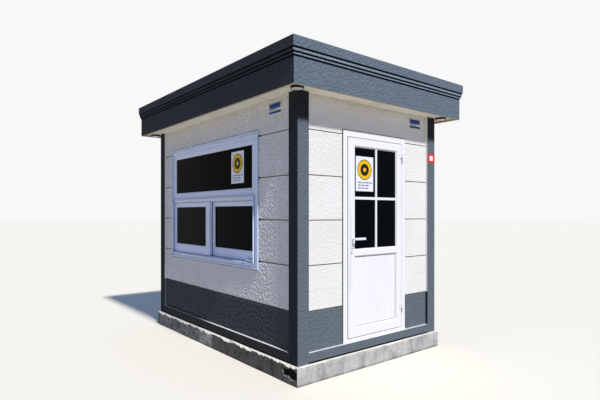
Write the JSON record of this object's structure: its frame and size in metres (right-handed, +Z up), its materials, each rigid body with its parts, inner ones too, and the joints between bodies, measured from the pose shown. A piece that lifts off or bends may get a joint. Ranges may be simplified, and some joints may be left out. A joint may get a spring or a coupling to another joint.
{
  "type": "guard booth",
  "caption": "Flat-roofed guard booth with grooved wall panels between square posts, a glazed hinged door and a sliding window, on a concrete plinth.",
  "frame": {"origin": "on the ground, below the centre of the roof's outline", "axes": "+Z up, -Y out of the front wall with the door, -X out of the window wall, +Y towards the back wall"},
  "size_m": [2.444, 3.444, 2.955],
  "materials": {
    "concrete": "rough cast concrete, weathered",
    "anthracite_coat": "anthracite coat with a rough trowelled grain",
    "floor_sheet": "vinyl floor sheet on a board deck",
    "wall_coat": "cream coat with a rough trowelled grain, anthracite below the lowest groove",
    "ceiling_paint": "off-white paint",
    "zinc_sheet": "galvanised",
    "lamp_plastic": "white opal",
    "white_plastic": "white extruded profile, semi-gloss",
    "window_glass": "clear sealed unit",
    "handle_metal": "white coated, satin"
  },
  "bodies": {
    "booth": {"concrete_plinth": "concrete", "base_rail_front": "anthracite_coat", "base_rail_back": "anthracite_coat", "base_rail_left": "anthracite_coat", "base_rail_right": "anthracite_coat", "corner_post_front_left": "anthracite_coat", "corner_post_front_right": "anthracite_coat", "corner_post_back_left": "anthracite_coat", "corner_post_back_right": "anthracite_coat", "fascia_front": "anthracite_coat", "fascia_back": "anthracite_coat", "fascia_left": "anthracite_coat", "fascia_right": "anthracite_coat", "floor_deck": "floor_sheet", "front_wall_left": "wall_coat", "front_wall_right": "wall_coat", "front_wall_head": "wall_coat", "left_wall_front": "wall_coat", "left_wall_back": "wall_coat", "left_wall_below_window": "wall_coat", "left_wall_above_window": "wall_coat", "back_wall": "wall_coat", "right_wall": "wall_coat", "ceiling_board": "ceiling_paint", "roof_sheet": "zinc_sheet", "soffit_lights": "lamp_plastic", "window_frame": "white_plastic", "sliding_sash_outer": "white_plastic", "sliding_sash_inner": "white_plastic", "sash_stop": "white_plastic", "door_jamb_lock_side": "white_plastic", "door_jamb_hinge_side": "white_plastic", "door_head": "white_plastic", "door_threshold": "white_plastic", "hinge_pins": "white_plastic", "upper_pane": "window_glass", "sash_glass_outer": "window_glass", "sash_glass_inner": "window_glass"},
    "door": {"door_leaf": "white_plastic", "door_glass": "window_glass", "door_glazing_bars": "white_plastic", "door_lower_panel": "white_plastic", "door_handle_plates": "handle_metal", "door_hinge_leaves": "white_plastic"},
    "handle": {"door_lever": "handle_metal"}
  },
  "joints": [
    {"name": "door_hinge", "type": "hinge", "parent": "booth", "child": "door", "pos_m": [0.437, -1.496, 1.26], "axis": [0, 0, 1], "range_deg": [0, 100]},
    {"name": "handle_turn", "type": "hinge", "parent": "door", "child": "handle", "pos_m": [-0.314, -1.482, 1.263], "axis": [0, 1, 0], "range_deg": [0, 40], "stiffness_Nm_per_rad": 1.5, "springref_deg": -20.05}
  ]
}
